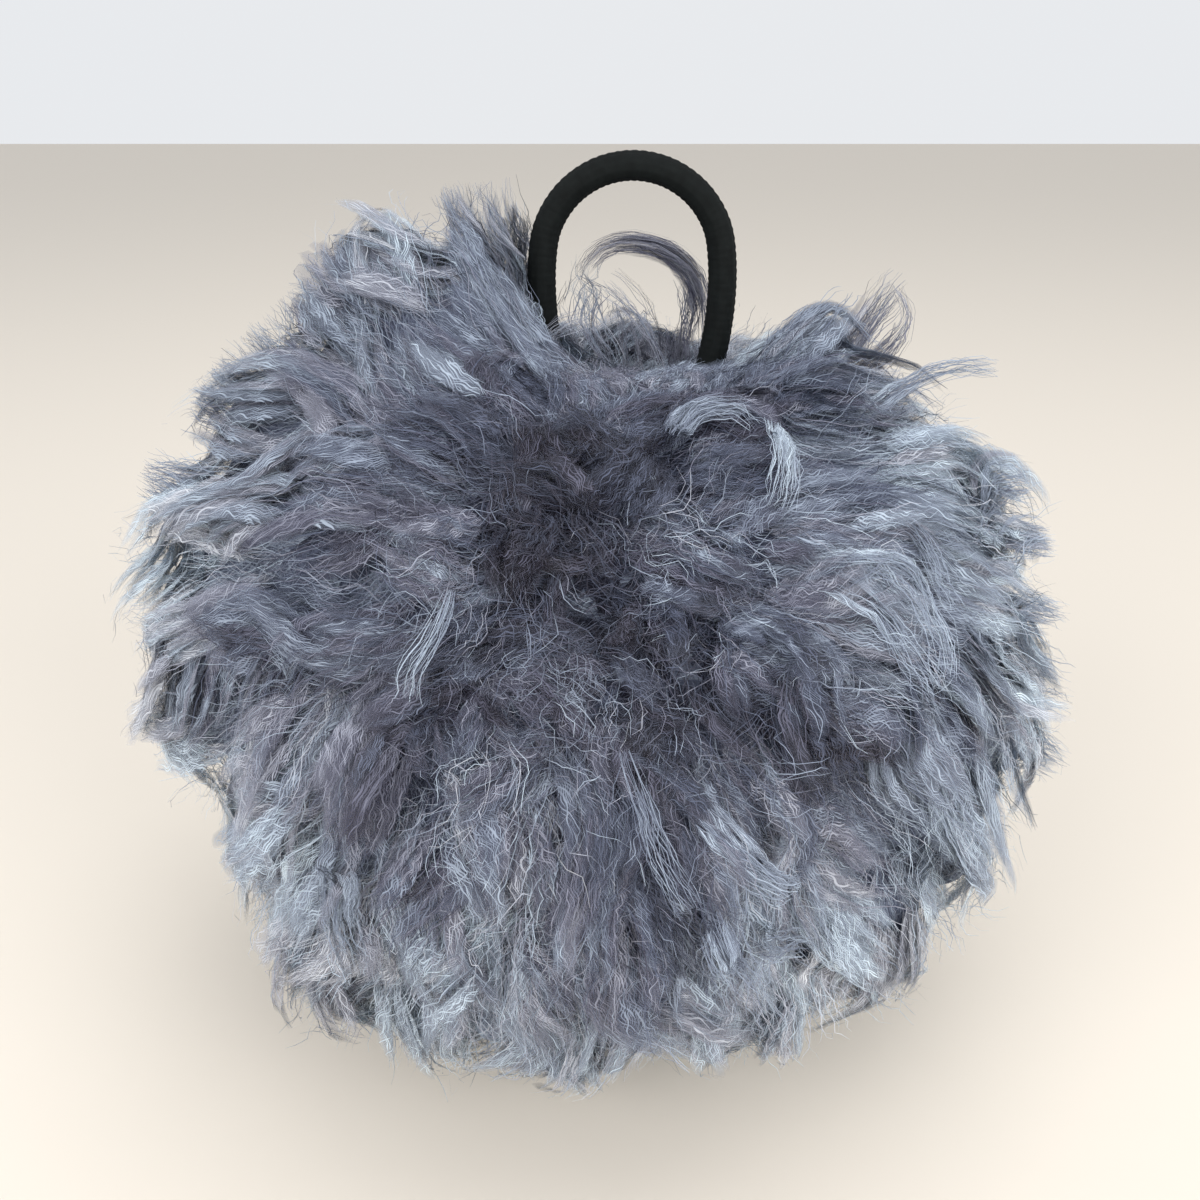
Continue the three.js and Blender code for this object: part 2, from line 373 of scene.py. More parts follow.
# %% How the pile lies
DROOP = 0.45
DROOP_RIGHT = 0.4
FLOOR_GAP = 0.3 * MM


def along_surface(v, at):
    return v - at * np.sum(v * at, axis=-1, keepdims=True)


def lie(at):
    """The way that the pile lies at each direction, along the ball's surface."""
    facing = np.sum(at * PARTING, axis=-1, keepdims=True)
    down = np.array([0.0, 0.0, -1.0])
    droop = DROOP + DROOP_RIGHT * np.clip(at[..., :1], -0.2, 1)
    way = -facing * along_surface(PARTING, at) + droop * along_surface(down, at)
    return unit(way + 1e-6)


def turned(way, at, angle):
    """way, turned about each direction by an angle."""
    side = np.cross(at, way)
    return way * np.cos(angle)[:, None] + side * np.sin(angle)[:, None]


def even_directions(count, jitter, rng):
    """Directions spread evenly over a ball by the golden angle, each moved a little at random."""
    i = np.arange(count)
    z = 1 - (2 * i + 1) / count
    round_ = i * math.pi * (3 - math.sqrt(5))
    ring = np.sqrt(1 - z * z)
    at = np.stack([ring * np.cos(round_), ring * np.sin(round_), z], axis=1)
    return unit(at + rng.normal(0, jitter / math.sqrt(count), at.shape))


print("the pile at the right lies along", lie(np.array([[1.0, 0.0, 0.0]]))[0].round(2))

# %% [markdown]
# ## Guides
# A guide is the middle line of a few fibres. Fibres could be combed one by one, but a few hundred guides
# for each kind of wool are enough to steer, and each carries what its fibres need: its axes, its
# lightness and its tint.

# %% Guides as loose edges with attributes
def strand_axes(points):
    """The side and the outer side of each point of each strand."""
    along = unit(np.gradient(points, axis=1))
    outward = unit(points - HEART)
    side = unit(np.cross(along, outward) + 1e-9)
    return side, np.cross(side, along)


def guide_mesh(name, points, puff, tone, tint):
    """A mesh of loose edges, one chain for each guide, with the axes and colour that the fibres need.
    puff is the outward direction of the lock at each point, by which its fibres are shaded."""
    count, steps = points.shape[:2]
    side, over = strand_axes(points)
    first = np.arange(count * steps).reshape(count, steps)
    edges = np.stack([first[:, :-1], first[:, 1:]], axis=2).reshape(-1, 2)
    mesh = bpy.data.meshes.new(name)
    mesh.vertices.add(count * steps)
    mesh.vertices.foreach_set("co", points.ravel())
    mesh.edges.add(len(edges))
    mesh.edges.foreach_set("vertices", edges.ravel())
    for label, values in {"side": side, "over": over, "puff": puff}.items():
        mesh.attributes.new(label, "FLOAT_VECTOR", "POINT").data.foreach_set("vector", values.ravel())
    for label, values in {"tone": tone, "tint": tint}.items():
        mesh.attributes.new(label, "FLOAT", "POINT").data.foreach_set("value", np.repeat(values, steps))
    mesh.update()
    return mesh


# %% [markdown]
# ## The fibre tree
# Each guide is copied a few times. The copies spread out round the guide, get a crimp of their own from a
# noise, differ in length, and are swept into ribbons that taper to the tip.

# %% The fibres' map and how they differ
KEPT_MAP = "OFBake"
TONES = 16
KINDS = 2
DARKEST, LIGHTEST = 0.15, 0.9
MAP_SIDES = 0.04  # left bare at each side of a column
MAP_ENDS = 0.01  # left bare below and above it
TIPWARD = 1.6  # above 1, more fibres keep the tip of their guide than its root
NOISE_APART = 40.0  # so that each fibre has a crimp of its own
NOISE_RANGE = 4.0  # a noise strays by about a quarter to each side of its middle
PUFF_SCATTER = 0.25

# %% What the tree is given, with what most wool has
FIBRE_INPUTS = {
    "Fibres": ("NodeSocketInt", 12),
    "Steps": ("NodeSocketInt", 11),
    "Share of guide": ("NodeSocketFloat", 0.6),
    "Spread at root": ("NodeSocketFloat", 1.8 * MM),
    "Spread at tip": ("NodeSocketFloat", 1.5 * MM),
    "Thickness": ("NodeSocketFloat", 0.4),
    "Crimp depth": ("NodeSocketFloat", 0.3 * MM),
    "Crimp size": ("NodeSocketFloat", 2.2 * MM),
    "Width": ("NodeSocketFloat", 0.12 * MM),
    "Roll": ("NodeSocketFloat", 1.1),
    "Softness": ("NodeSocketFloat", 0.75),
    "Tone spread": ("NodeSocketFloat", 0.08),
    "Tip lightness": ("NodeSocketFloat", 0.15),
    "Seed": ("NodeSocketInt", 0),
    "Material": ("NodeSocketMaterial", None),
}


# %% Geometry Nodes that grow fibres
def fibre_tree():
    tree = bpy.data.node_groups.new("fibres_on_guides", "GeometryNodeTree")
    face = tree.interface
    face.new_socket("Geometry", in_out="INPUT", socket_type="NodeSocketGeometry")
    face.new_socket("Geometry", in_out="OUTPUT", socket_type="NodeSocketGeometry")
    for label, (kind, value) in FIBRE_INPUTS.items():
        item = face.new_socket(label, in_out="INPUT", socket_type=kind)
        if value is not None:
            item.default_value = value
    g = Graph(tree)
    group = tree.nodes.new("NodeGroupInput")
    given = {s.name: Socket(g, s) for s in group.outputs if s.name}

    def named(label, kind="FLOAT"):
        return g.add("GeometryNodeInputNamedAttribute", {"data_type": kind}, {"Name": label})

    def chance(low, high, salt, kind="FLOAT"):
        """A random value for each fibre: it reads the index of the fibre that a point is on."""
        fibre, seed = g.add("GeometryNodeCurveOfPoint"), given["Seed"] + salt
        inputs = {"Min": low, "Max": high, "ID": fibre, "Seed": seed}
        return g.add("FunctionNodeRandomValue", {"data_type": kind}, inputs, out="Value")

    def any_way(salt):
        return chance((-1.0, -1.0, -1.0), (1.0, 1.0, 1.0), salt, "FLOAT_VECTOR")

    def stored(shape, label, value, kind="FLOAT", domain="POINT"):
        inputs = {"Geometry": shape, "Name": label, "Value": value}
        return g.add("GeometryNodeStoreNamedAttribute", {"data_type": kind, "domain": domain}, inputs)

    # Copies of each guide, set apart from it.
    curves = g.add("GeometryNodeMeshToCurve", {}, {"Mesh": given["Geometry"]})
    inputs = {"Geometry": curves, "Amount": given["Fibres"]}
    copies = g.add("GeometryNodeDuplicateElements", {"domain": "SPLINE"}, inputs)
    t = g.add("GeometryNodeSplineParameter")
    side, over = named("side", "FLOAT_VECTOR"), named("over", "FLOAT_VECTOR")
    spread = given["Spread at root"] + (given["Spread at tip"] - given["Spread at root"]) * t
    angle = chance(0.0, 2 * math.pi, 1)
    away = chance(0.0, 1.0, 2).root() * spread
    apart = side * (angle.cosine() * away) + over * (angle.sine() * away * given["Thickness"])
    copies = stored(copies, "up_guide", t)
    placed = g.add("GeometryNodeSetPosition", {}, {"Geometry": copies, "Offset": apart})

    # Each keeps a stretch of it, in even steps, and gets its own crimp.
    share = given["Share of guide"] * chance(0.75, 1.0, 5)
    first = (1 - share) * (1 - (1 - chance(0.0, 1.0, 4)) ** TIPWARD)
    inputs = {"Curve": placed, "Start": first, "End": first + share}
    trimmed = g.add("GeometryNodeTrimCurve", {"mode": "FACTOR"}, inputs)
    stepped = g.add("GeometryNodeResampleCurve", {}, {"Curve": trimmed, "Count": given["Steps"]})
    place = g.add("GeometryNodeInputPosition")
    where = place * (1 / given["Crimp size"]) + any_way(3) * NOISE_APART
    noise = g.add("ShaderNodeTexNoise", {}, {"Vector": where, "Scale": 1.0, "Detail": 1.0}, out="Color")
    depth = given["Crimp depth"] * NOISE_RANGE * (named("up_guide") * 0.7 + 0.4)
    crimp = (noise - (0.5, 0.5, 0.5)) * depth
    x, y, z = g.split(place + crimp)
    lowest = chance(0.2 * MM, 1.6 * MM, 6)
    landed = g.add("ShaderNodeCombineXYZ", {}, {0: x, 1: y, 2: z.at_least(lowest)})
    crimped = g.add("GeometryNodeSetPosition", {}, {"Geometry": stepped, "Position": landed})

    # A ribbon along it, thin at both ends, that mostly faces outwards.
    puff = named("puff", "FLOAT_VECTOR") + any_way(11) * PUFF_SCATTER
    facing = g.add("GeometryNodeSetCurveNormal", {"mode": "FREE"}, {"Curve": crimped, "Normal": puff})
    t = g.add("GeometryNodeSplineParameter")
    taper = given["Width"] * chance(0.7, 1.3, 7) * ((4.0 * t * (1 - t)) ** 0.5 * 0.6 + 0.4) * (1.1 - 0.3 * t)
    sized = g.add("GeometryNodeSetCurveRadius", {}, {"Curve": facing, "Radius": taper})
    roll = given["Roll"] * chance(-1.0, 1.0, 8)
    rolled = g.add("GeometryNodeSetCurveTilt", {}, {"Curve": sized, "Tilt": roll})
    measured = stored(rolled, "along", t * (1 - 2 * MAP_ENDS) + MAP_ENDS)

    # Its column in the map: one for each tone of each kind of strand.
    # A fibre that starts further up its guide is lighter: painted shade on those that start near the root.
    tone = named("tone") + chance(-1.0, 1.0, 9) * given["Tone spread"] + first * given["Tip lightness"]
    step = ((tone - DARKEST) * ((TONES - 1) / (LIGHTEST - DARKEST))).rounded()
    mauve = g.add(
        "ShaderNodeMath", {"operation": "LESS_THAN"}, {0: chance(0.0, 1.0, 10), 1: named("tint")}
    )
    toned = stored(measured, "column", step.at_least(0.0).at_most(TONES - 1.0) + mauve * TONES)
    line = g.add(
        "GeometryNodeCurvePrimitiveLine", {}, {"Start": (0.0, -0.5, 0.0), "End": (0.0, 0.5, 0.0)}
    )
    profile = stored(line, "across", g.add("GeometryNodeSplineParameter"))
    inputs = {"Curve": toned, "Profile Curve": profile, "Scale": g.add("GeometryNodeInputRadius")}
    ribbons = g.add("GeometryNodeCurveToMesh", {}, inputs)

    # Its map, its shading and its material.
    across = named("column") + MAP_SIDES + named("across") * (1 - 2 * MAP_SIDES)
    places = g.add("ShaderNodeCombineXYZ", {}, {0: across / (TONES * KINDS), 1: named("along")})
    mapped = stored(ribbons, KEPT_MAP, places, "FLOAT2", "CORNER")
    smooth = g.add("GeometryNodeSetShadeSmooth", {}, {"Geometry": mapped})
    own = g.add("GeometryNodeInputNormal", out="Normal")
    soft = own * (1 - given["Softness"]) + named("puff", "FLOAT_VECTOR") * given["Softness"]
    shaded = g.add("GeometryNodeSetMeshNormal", {"mode": "FREE"}, {"Mesh": smooth, "Custom Normal": soft})
    real = g.add("GeometryNodeRealizeInstances", {}, {"Geometry": shaded})
    dressed = g.add("GeometryNodeSetMaterial", {}, {"Geometry": real, "Material": given["Material"]})
    end = tree.nodes.new("NodeGroupOutput")
    tree.links.new(dressed.socket, end.inputs[0])
    return tree


FIBRES = fibre_tree()
print("the fibre tree has", len(FIBRES.nodes), "nodes")


# %% Pieces grown by the tree
def grown(name, guides, **sizes):
    """A piece of fibres grown on a mesh of guides: a plain mesh, with no modifier left."""
    obj = add_object(name, guides)
    modifier = obj.modifiers.new("fibres", "NODES")
    modifier.node_group = FIBRES
    inputs = {s.name: s.identifier for s in FIBRES.interface.items_tree if s.in_out == "INPUT"}
    for label, value in sizes.items():
        modifier[inputs[label.replace("_", " ").capitalize()]] = value
    graph = bpy.context.evaluated_depsgraph_get()
    mesh = bpy.data.meshes.new_from_object(obj.evaluated_get(graph), depsgraph=graph)
    obj.modifiers.clear()
    obj.data = mesh
    mesh.name = name
    for label in ("side", "over", "puff", "tone", "tint", "up_guide", "along", "column", "across"):
        if label in mesh.attributes:
            mesh.attributes.remove(mesh.attributes[label])
    mesh.calc_loop_triangles()
    print(name, "has", len(mesh.loop_triangles), "triangles")
    return obj


# %% [markdown]
# ## Materials
# The wool's colour depends on two things that run with the fibre: how light the fibre is, and how far
# along it the point lies. Both are in the piece's own map, so the same material serves every piece of
# pile.

# %% Wool
SLATE_STOPS = [
    (0.0, (0.006, 0.006, 0.014)),
    (0.3, (0.070, 0.082, 0.126)),
    (0.55, (0.246, 0.286, 0.355)),
    (0.8, (0.468, 0.550, 0.625)),
    (1.0, (0.800, 0.900, 0.930)),
]
MAUVE_STOPS = [
    (0.0, (0.008, 0.006, 0.013)),
    (0.3, (0.081, 0.083, 0.123)),
    (0.55, (0.272, 0.284, 0.342)),
    (0.8, (0.510, 0.535, 0.585)),
    (1.0, (0.780, 0.800, 0.830)),
]


def wool_place(g):
    """From the piece's own map: the column, how far across it and up the strand, the lightness and tint."""
    u, along, _ = g.split(g.add("ShaderNodeUVMap", {"uv_map": KEPT_MAP}))
    place = u * (TONES * KINDS)
    column = place.floor()
    kind = (column / TONES).floor()
    tone = (column - kind * TONES) * ((LIGHTEST - DARKEST) / (TONES - 1)) + DARKEST
    mauve = g.add("ShaderNodeMath", {"operation": "GREATER_THAN"}, {0: kind, 1: 0.5})
    return column, place - column, along, tone, mauve


def flat_noise(g, x, y, detail=0.0):
    where = g.add("ShaderNodeCombineXYZ", {}, {0: x, 1: y})
    inputs = {"Vector": where, "Scale": 1.0, "Detail": detail}
    return g.add("ShaderNodeTexNoise", {"noise_dimensions": "2D"}, inputs, out="Fac")


def crimped_fibres(g, column, across, along, fibres, slant, crimps, depth):
    """Fibres side by side on a flat strand: how solid it is and how light, both 0 between fibres."""
    salt = column * 5.1 + fibres
    bend = flat_noise(g, across * (fibres * 0.15) + salt, along * crimps)
    at = across * fibres + along * slant + (bend - 0.5) * depth
    ridge = (at * (2 * math.pi)).sine() * 0.5 + 0.5
    there = flat_noise(g, at * 0.8 + salt, along * 3.5)
    edge = (across * 2.0 - 1).size() ** 3.0
    tip = ((along - 0.45) * 2.4).at_least(0.0) + ((0.2 - along) * 3.0).at_least(0.0)
    value = ridge + (there - 0.5) * 1.5 - edge * 0.6 - tip * 0.45
    inputs = {"Value": value, "From Min": 0.72, "From Max": 0.9}
    solid = g.add("ShaderNodeMapRange", {}, inputs, out="Result")
    # Each fibre is lighter along its middle than at its edges: painted shading of a round fibre.
    return solid, solid * (there * 0.9 + ridge * 0.35)


def wool_material(name, strand):
    material, g = new_material(name)
    column, across, along, tone, mauve = wool_place(g)
    if strand:
        aslant = (column * 12.9).sine() * 24.0
        lines, light = crimped_fibres(
            g, column, across, along, fibres=10.0, slant=2.0, crimps=8.0, depth=3.6
        )
        crossing, other_light = crimped_fibres(
            g, column, across, along, fibres=7.0, slant=aslant, crimps=6.0, depth=4.0
        )
        haze = 0.42 - (across * 2.0 - 1).size() ** 3.0 * 0.5 - ((along - 0.5) * 2).size() ** 3.0 * 0.5
        solid = lines.at_least(crossing).at_least(haze)
        light = light.at_least(other_light).at_least(0.4)
    else:
        solid = 1.0
        light = flat_noise(g, column * 3.7 + across, along * 9.0, 2.0)
    # Fibres are painted darker towards the root, as shade under the locks over them.
    shade = tone * (along * 0.15 + 0.8) + (light - 0.65) * 0.32 - 0.05
    slate = g.add("ShaderNodeValToRGB", {"stops": SLATE_STOPS}, {"Fac": shade})
    greyer = g.add("ShaderNodeValToRGB", {"stops": MAUVE_STOPS}, {"Fac": shade})
    colour = g.add(
        "ShaderNodeMix", {"data_type": "RGBA"}, {"Factor": mauve, "A": slate, "B": greyer}, out="Result"
    )
    finish_material(g, {"Base Color": colour, "Alpha": solid, "Roughness": 0.55, "Specular IOR Level": 0.3})
    return material


WOOL = wool_material("wool", strand=False)
WOOL_STRANDS = wool_material("wool_strands", strand=True)

# %% [markdown]
# ## Locks
# Long wool parts into locks, each combed over the next like a roof tile: low at its root, highest near
# its tip, where it ends in a fringe. One list of locks shapes the dense wool underneath and places the
# fibres over it.

# %% Streaks
FILL_LOCKS = 190  # between the solid's tufts
BODY_SHARE = 0.87  # of the pile's reach: below that no lock shows
SIZE = 54 * MM  # from the heart to the pile, about
# The darker streaks are painted shade in the partings between locks; the lighter ones are lighter locks,
# partly painted highlight.
# Lighter and darker streaks: turn and tilt from the parting at both ends, half width in mm, more light.
STREAKS = [
    ((9, 26), (45, 4), 4, -0.16),
    ((349, 15), (343, 22), 5, -0.18),
    ((272, 14), (242, 34), 3.5, -0.22),
    ((134, 12), (150, 20), 2.5, -0.18),
    ((235, 9), (222, 16), 2, -0.12),
    ((299, 21), (299, 16), 4, 0.15),
    ((282, 6), (284, 7), 3.5, 0.18),
    ((44, 15), (68, 16), 4, 0.18),
    ((195, 8), (178, 14), 3.5, 0.15),
    ((229, 14), (215, 22), 4, 0.12),
    ((267, 58), (262, 42), 4, -0.15),
    ((60, 9), (108, 28), 3, -0.22),
    ((108, 28), (125, 44), 4, -0.19),
    ((102, 40), (102, 62), 4, -0.15),
    ((28, 29), (42, 30), 4, -0.15),
    ((173, 24), (175, 40), 4, -0.12),
    ((158, 24), (156, 40), 4, -0.12),
    ((319, 32), (300, 48), 5, -0.06),
    ((55, 30), (82, 36), 9, 0.12),
    ((26, 44), (37, 74), 8, -0.15),
    ((62, 60), (70, 78), 9, 0.12),
    ((230, 36), (220, 48), 7, 0.15),
    ((192, 20), (202, 36), 6, 0.11),
    ((136, 30), (142, 52), 6, 0.10),
    ((255, 38), (254, 52), 6, 0.12),
    ((303, 40), (290, 62), 9, 0.07),
    ((342, 66), (326, 80), 10, 0.03),
    ((250, 66), (236, 84), 12, 0.05),
    ((347, 36), (325, 48), 11, -0.06),
    ((292, 62), (262, 84), 14, 0.09),
    ((88, 64), (112, 84), 12, 0.08),
    ((112, 54), (114, 72), 6, 0.12),
]

# %% How light the pile is at each place
rng = np.random.default_rng(11)
# Smaller pockets of painted shade, where one sees deeper, and knots with painted highlights that catch the
# light, round the parting.
POCKETS = unit(PARTING + np.random.default_rng(5).normal(0, 0.36, (90, 3)))
POCKET_HALF = 2.9
POCKET_LIGHT = np.clip(np.random.default_rng(6).normal(-0.02, 0.22, len(POCKETS)), -0.5, 0.14)


def from_parting(turn, tilt):
    """The direction that many degrees off the parting, turned clockwise from the top as seen in front."""
    turn, tilt = math.radians(turn), math.radians(tilt)
    up = np.array([0.0, math.sin(PARTING_LIFT), math.cos(PARTING_LIFT)])
    aside = math.sin(turn) * np.array([1.0, 0.0, 0.0]) + math.cos(turn) * up
    return math.cos(tilt) * PARTING + math.sin(tilt) * aside


def lightness(at):
    """The pile's lightness, with painted shade and light: darkest round the parting, where one looks down
    between the fibres, and darker towards the top; with streaks and pockets.
    """
    facing = np.clip(np.sum(at * PARTING, axis=1), 0, 1)
    light = 0.87 - 0.53 * facing**2 - 0.2 * np.clip(at[:, 2], 0, 1)
    for start, end, half, more in STREAKS:
        a, b = from_parting(*start), from_parting(*end)
        t = np.clip((at - a) @ (b - a) / np.sum((b - a) ** 2), 0, 1)[:, None]
        away = np.linalg.norm(at - (a + (b - a) * t), axis=1) * SIZE / MM
        light = light + more * np.exp(-((away / half) ** 2))
    apart = np.linalg.norm(at[:, None] - POCKETS[None], axis=2) * SIZE / MM
    return light + np.exp(-((apart / POCKET_HALF) ** 2)) @ POCKET_LIGHT


# %% Laying the locks
def pull(at):
    """How far the pile is combed over at each direction: little at the parting, more where it hangs."""
    combed = 1 - np.clip(np.sum(at * PARTING, axis=1), 0, 1) ** 6
    return combed * (1 + 0.2 * np.clip(-at[:, 2], 0, 1))


def smoothed_reach(at, samples=2500, width=0.13):
    """The pile's reach with its tufts evened out."""
    spots = even_directions(samples, 0, np.random.default_rng(0))
    far = reach(spots)
    weight = np.exp((at @ spots.T - 1) / width**2)
    return (weight @ far) / weight.sum(axis=1)


def lay_locks():
    tops, fill = tuft_tops(), even_directions(FILL_LOCKS, 0.6, rng)
    tip = np.concatenate([tops, fill])
    on_tuft = np.arange(len(tip)) < len(tops)
    facing = np.clip(np.sum(tip * PARTING, axis=1), 0, 1)
    way = turned(lie(tip), tip, rng.normal(0, 0.3 + 0.7 * facing**30))
    low = BODY_SHARE * smoothed_reach(tip)
    far = reach(tip)
    high = far * np.where(on_tuft, 0.905, 0.89) * rng.uniform(0.985, 1.01, len(tip))
    return {
        "tip": tip,
        "way": way,
        "side": np.cross(tip, way),
        "half": rng.uniform(3.6, 7.0, len(tip)) * MM,
        "length": rng.uniform(15, 26, len(tip)) * MM * (0.45 + 0.55 * pull(tip)),
        "bow": rng.normal(0, 2.6, len(tip)) * MM,
        "height": np.maximum(high - low, 1.5 * MM),
        "room": np.maximum(far - high, 2.5 * MM),
        # tone: the pile's painted shade and light at the tip, and a random tone of the lock's own.
        "tone": lightness(tip) + rng.normal(0, 0.055, len(tip)),
        "tint": np.clip(rng.normal(0.36, 0.3, len(tip)) - 0.2 * tip[:, 0], 0, 1),
        "phase": rng.uniform(0, 2 * math.pi, len(tip)),
    }


LOCKS = lay_locks()
COUNT = len(LOCKS["tip"])
print("locks:", COUNT)

# %% The clearing round the loop
CLEARING = 15 * MM
CLEARING_HEIGHT = 89.5 * MM
CLEARING_SLOPE = 0.19


def at_the_loop(places):
    """1 where the pile parts for the loop, 0 away from it."""
    x, y = (places[..., 0] - ARCH_MIDDLE[0]) / CLEARING, (places[..., 1] - ARCH_MIDDLE[1]) / CLEARING
    behind, in_front = np.clip(y, 0, None), np.clip(-y, 0, None)
    return np.exp(-(x**4)) * np.exp(-(behind**2)) * np.exp(-((in_front / 2.2) ** 4))


def cleared(at, far):
    """far, cut down round the loop's legs so that they show: the pile slopes up to the front from them."""
    places = HEART + at * far[..., None]
    top = CLEARING_HEIGHT + CLEARING_SLOPE * (ARCH_MIDDLE[1] - places[..., 1])
    over = np.clip(places[..., 2] - top, 0, None) * at_the_loop(places)
    return far - np.where(at[..., 2] > 0.3, over / np.maximum(at[..., 2], 0.3), 0)


# %% [markdown]
# ## The dense wool
# Under the loose fibres the wool is too dense to see into. It is one closed body whose surface follows
# the locks, with fine streaks along each.

# %% Body of dense wool
FRINGE = 6 * MM
STRAND_EVERY = 3.0 * MM
WAVE_DEPTH = 0.9 * MM
WAVE_LENGTH = 3.2 * MM  # for each radian


def picked(which):
    """The lock or locks of these numbers."""
    return {label: values[which] for label, values in LOCKS.items()}


def wander(lock, along):
    """How far a lock's middle has strayed to the side at each place along it: it bows and it waves."""
    bow = lock["bow"] * (along / lock["length"]) ** 2
    return bow + WAVE_DEPTH * np.sin(along / WAVE_LENGTH + lock["phase"])


def in_lock(at, k):
    """Where directions lie on one lock: how far past its tip, and how far to its side."""
    away = (at - LOCKS["tip"][k]) * SIZE
    along, across = away @ LOCKS["way"][k], away @ LOCKS["side"][k]
    return along, across - wander(picked(k), along)


def narrowing(part):
    """A lock's width at each part of its length: full at the root and under half from the tip on."""
    return np.where(part < 1, 1 - 0.55 * np.clip(part, 0, 1) ** 2.5, 0.45)


def lock_relief(at):
    """The height of the locks over each direction, and which lock lies on top there."""
    best, top = np.zeros(len(at)), np.zeros(len(at), dtype=int)
    for k in range(COUNT):
        along, across = in_lock(at, k)
        part = 1 + along / LOCKS["length"][k]
        rise = np.sin(0.5 * math.pi * np.clip(part / 0.8, 0, 1)) ** 0.9
        end = np.clip(1 - np.clip(along + 2 * MM, 0, None) / (FRINGE + 2 * MM), 0, 1)
        body = np.clip(1 - (across / (LOCKS["half"][k] * narrowing(part))) ** 2, 0, 1) ** 0.6
        ridges = 0.45 * MM * np.cos(2 * math.pi * across / STRAND_EVERY + 2 * LOCKS["phase"][k])
        height = (LOCKS["height"][k] + ridges) * end * rise * body
        height = np.where(at @ LOCKS["tip"][k] > 0.7, height, 0)
        top = np.where(height > best, k, top)
        best = np.maximum(best, height)
    return best, top


# %% The dense wool's mesh
def combed_attribute(mesh, top):
    """At each corner of the mesh: how far across and along its lock it lies, and the lock's tone."""
    corners = np.empty(len(mesh.loops), dtype=np.int32)
    mesh.loops.foreach_get("vertex_index", corners)
    places = np.empty(len(mesh.vertices) * 3)
    mesh.vertices.foreach_get("co", places)
    at = unit(places.reshape(-1, 3) - HEART)[corners]
    mine = np.repeat(top, 3)
    comb = np.empty((len(corners), 3))
    for k in range(COUNT):
        here = mine == k
        along, across = in_lock(at[here], k)
        comb[here] = np.stack([across / MM + 40 * k, along / MM, np.full(len(along), LOCKS["tone"][k])], 1)
    mesh.attributes.new("comb", "FLOAT_VECTOR", "CORNER").data.foreach_set("vector", comb.ravel())


def dense_wool():
    bpy.ops.mesh.primitive_ico_sphere_add(subdivisions=7, radius=1)
    obj = bpy.context.object
    obj.name = obj.data.name = "dense_wool"
    mesh = obj.data
    at = np.empty(len(mesh.vertices) * 3)
    mesh.vertices.foreach_get("co", at)
    at = unit(at.reshape(-1, 3))
    relief, _ = lock_relief(at)
    out = cleared(at, BODY_SHARE * smoothed_reach(at) + relief)
    edges = np.empty(len(mesh.edges) * 2, dtype=np.int32)
    mesh.edges.foreach_get("vertices", edges)
    a, b = edges.reshape(-1, 2).T
    links = np.bincount(a, minlength=len(at)) + np.bincount(b, minlength=len(at))
    for _ in range(4):
        around = np.bincount(a, out[b], len(at)) + np.bincount(b, out[a], len(at))
        out = 0.5 * out + 0.5 * around / links
    places = HEART + at * out[:, None]
    places[:, 2] = np.maximum(places[:, 2], 0.8 * MM)
    mesh.vertices.foreach_set("co", places.ravel())
    mesh.shade_smooth()
    mesh.update()
    centres = np.empty(len(mesh.polygons) * 3)
    mesh.polygons.foreach_get("center", centres)
    centres = unit(centres.reshape(-1, 3) - HEART)
    _, top = lock_relief(centres)
    combed_attribute(mesh, top)
    mesh.materials.append(dense_wool_material())
    print("dense wool has", len(mesh.polygons), "triangles")
    return obj


# %% The dense wool's finish
def wavy_lines(g, across, along, every, crimp, depth, salt):
    """Crimped lines side by side along a lock: 0 between them, and on each line a lightness of its own."""
    bend = flat_noise(g, across * 0.7 + salt, along / crimp, detail=2.0)
    place = across + (bend - 0.5) * depth
    line = (place * (2 * math.pi / every)).sine() * 0.5 + 0.5
    lit = flat_noise(g, place / every * 0.8, along * 0.22 + salt, detail=2.0)
    return line * (lit * 2.6 - 0.8).at_least(0.0)


def dense_wool_material():
    material, g = new_material("dense_wool")
    comb = g.add("ShaderNodeAttribute", {"attribute_name": "comb"}, out="Vector")
    across, along, tone = g.split(comb)
    fine = wavy_lines(g, across, along, every=0.34, crimp=1.1, depth=0.9, salt=3.0)
    slanting = wavy_lines(g, across + along * 0.45, along, every=0.42, crimp=1.4, depth=1.3, salt=11.0)
    other = wavy_lines(g, across - along * 0.35, along, every=0.38, crimp=1.2, depth=1.3, salt=23.0)
    fibres = fine.at_least(slanting * 0.9).at_least(other * 0.9)
    # Painted shade: the dense wool is darker towards each lock's root, deep under the lock over it.
    stretch = {"Value": along, "From Min": -14.0, "From Max": 2.0, "To Min": 0.6, "To Max": 1.0}
    to_tip = g.add("ShaderNodeMapRange", {}, stretch, out="Result")
    where = g.add("ShaderNodeCombineXYZ", {}, {0: across * 0.55, 1: along * 0.09})
    streak = g.add("ShaderNodeTexNoise", {}, {"Vector": where, "Scale": 1.0}, out="Fac")
    # The dense wool is painted darker than the loose fibres over it, and dark between its painted fibres, as
    # the shade deep in the pile.
    shade = (tone * to_tip * 1.3 + (streak - 0.5) * 0.5) * 0.6 + fibres * 0.36 - 0.19
    colour = g.add("ShaderNodeValToRGB", {"stops": SLATE_STOPS}, {"Fac": shade})
    bump = g.add("ShaderNodeBump", {}, {"Height": fibres, "Strength": 0.6, "Distance": 0.3 * MM})
    finish_material(g, {"Base Color": colour, "Roughness": 0.75, "Specular IOR Level": 0.2, "Normal": bump})
    return material


wool_underneath = dense_wool()
wool_surface = surface_of(wool_underneath.data)


def body_reach(at):
    """How far the dense wool reaches."""
    return far_out(wool_surface, at)


# %% [markdown]
# ## The pile
# Strands run along each lock just over the dense wool, and spring clear of it past the lock's tip.

# %% Strands of the locks
STRANDS = 11  # to each lock
STEPS = 14
ANY_TURN = 6.3  # radians, a full turn about


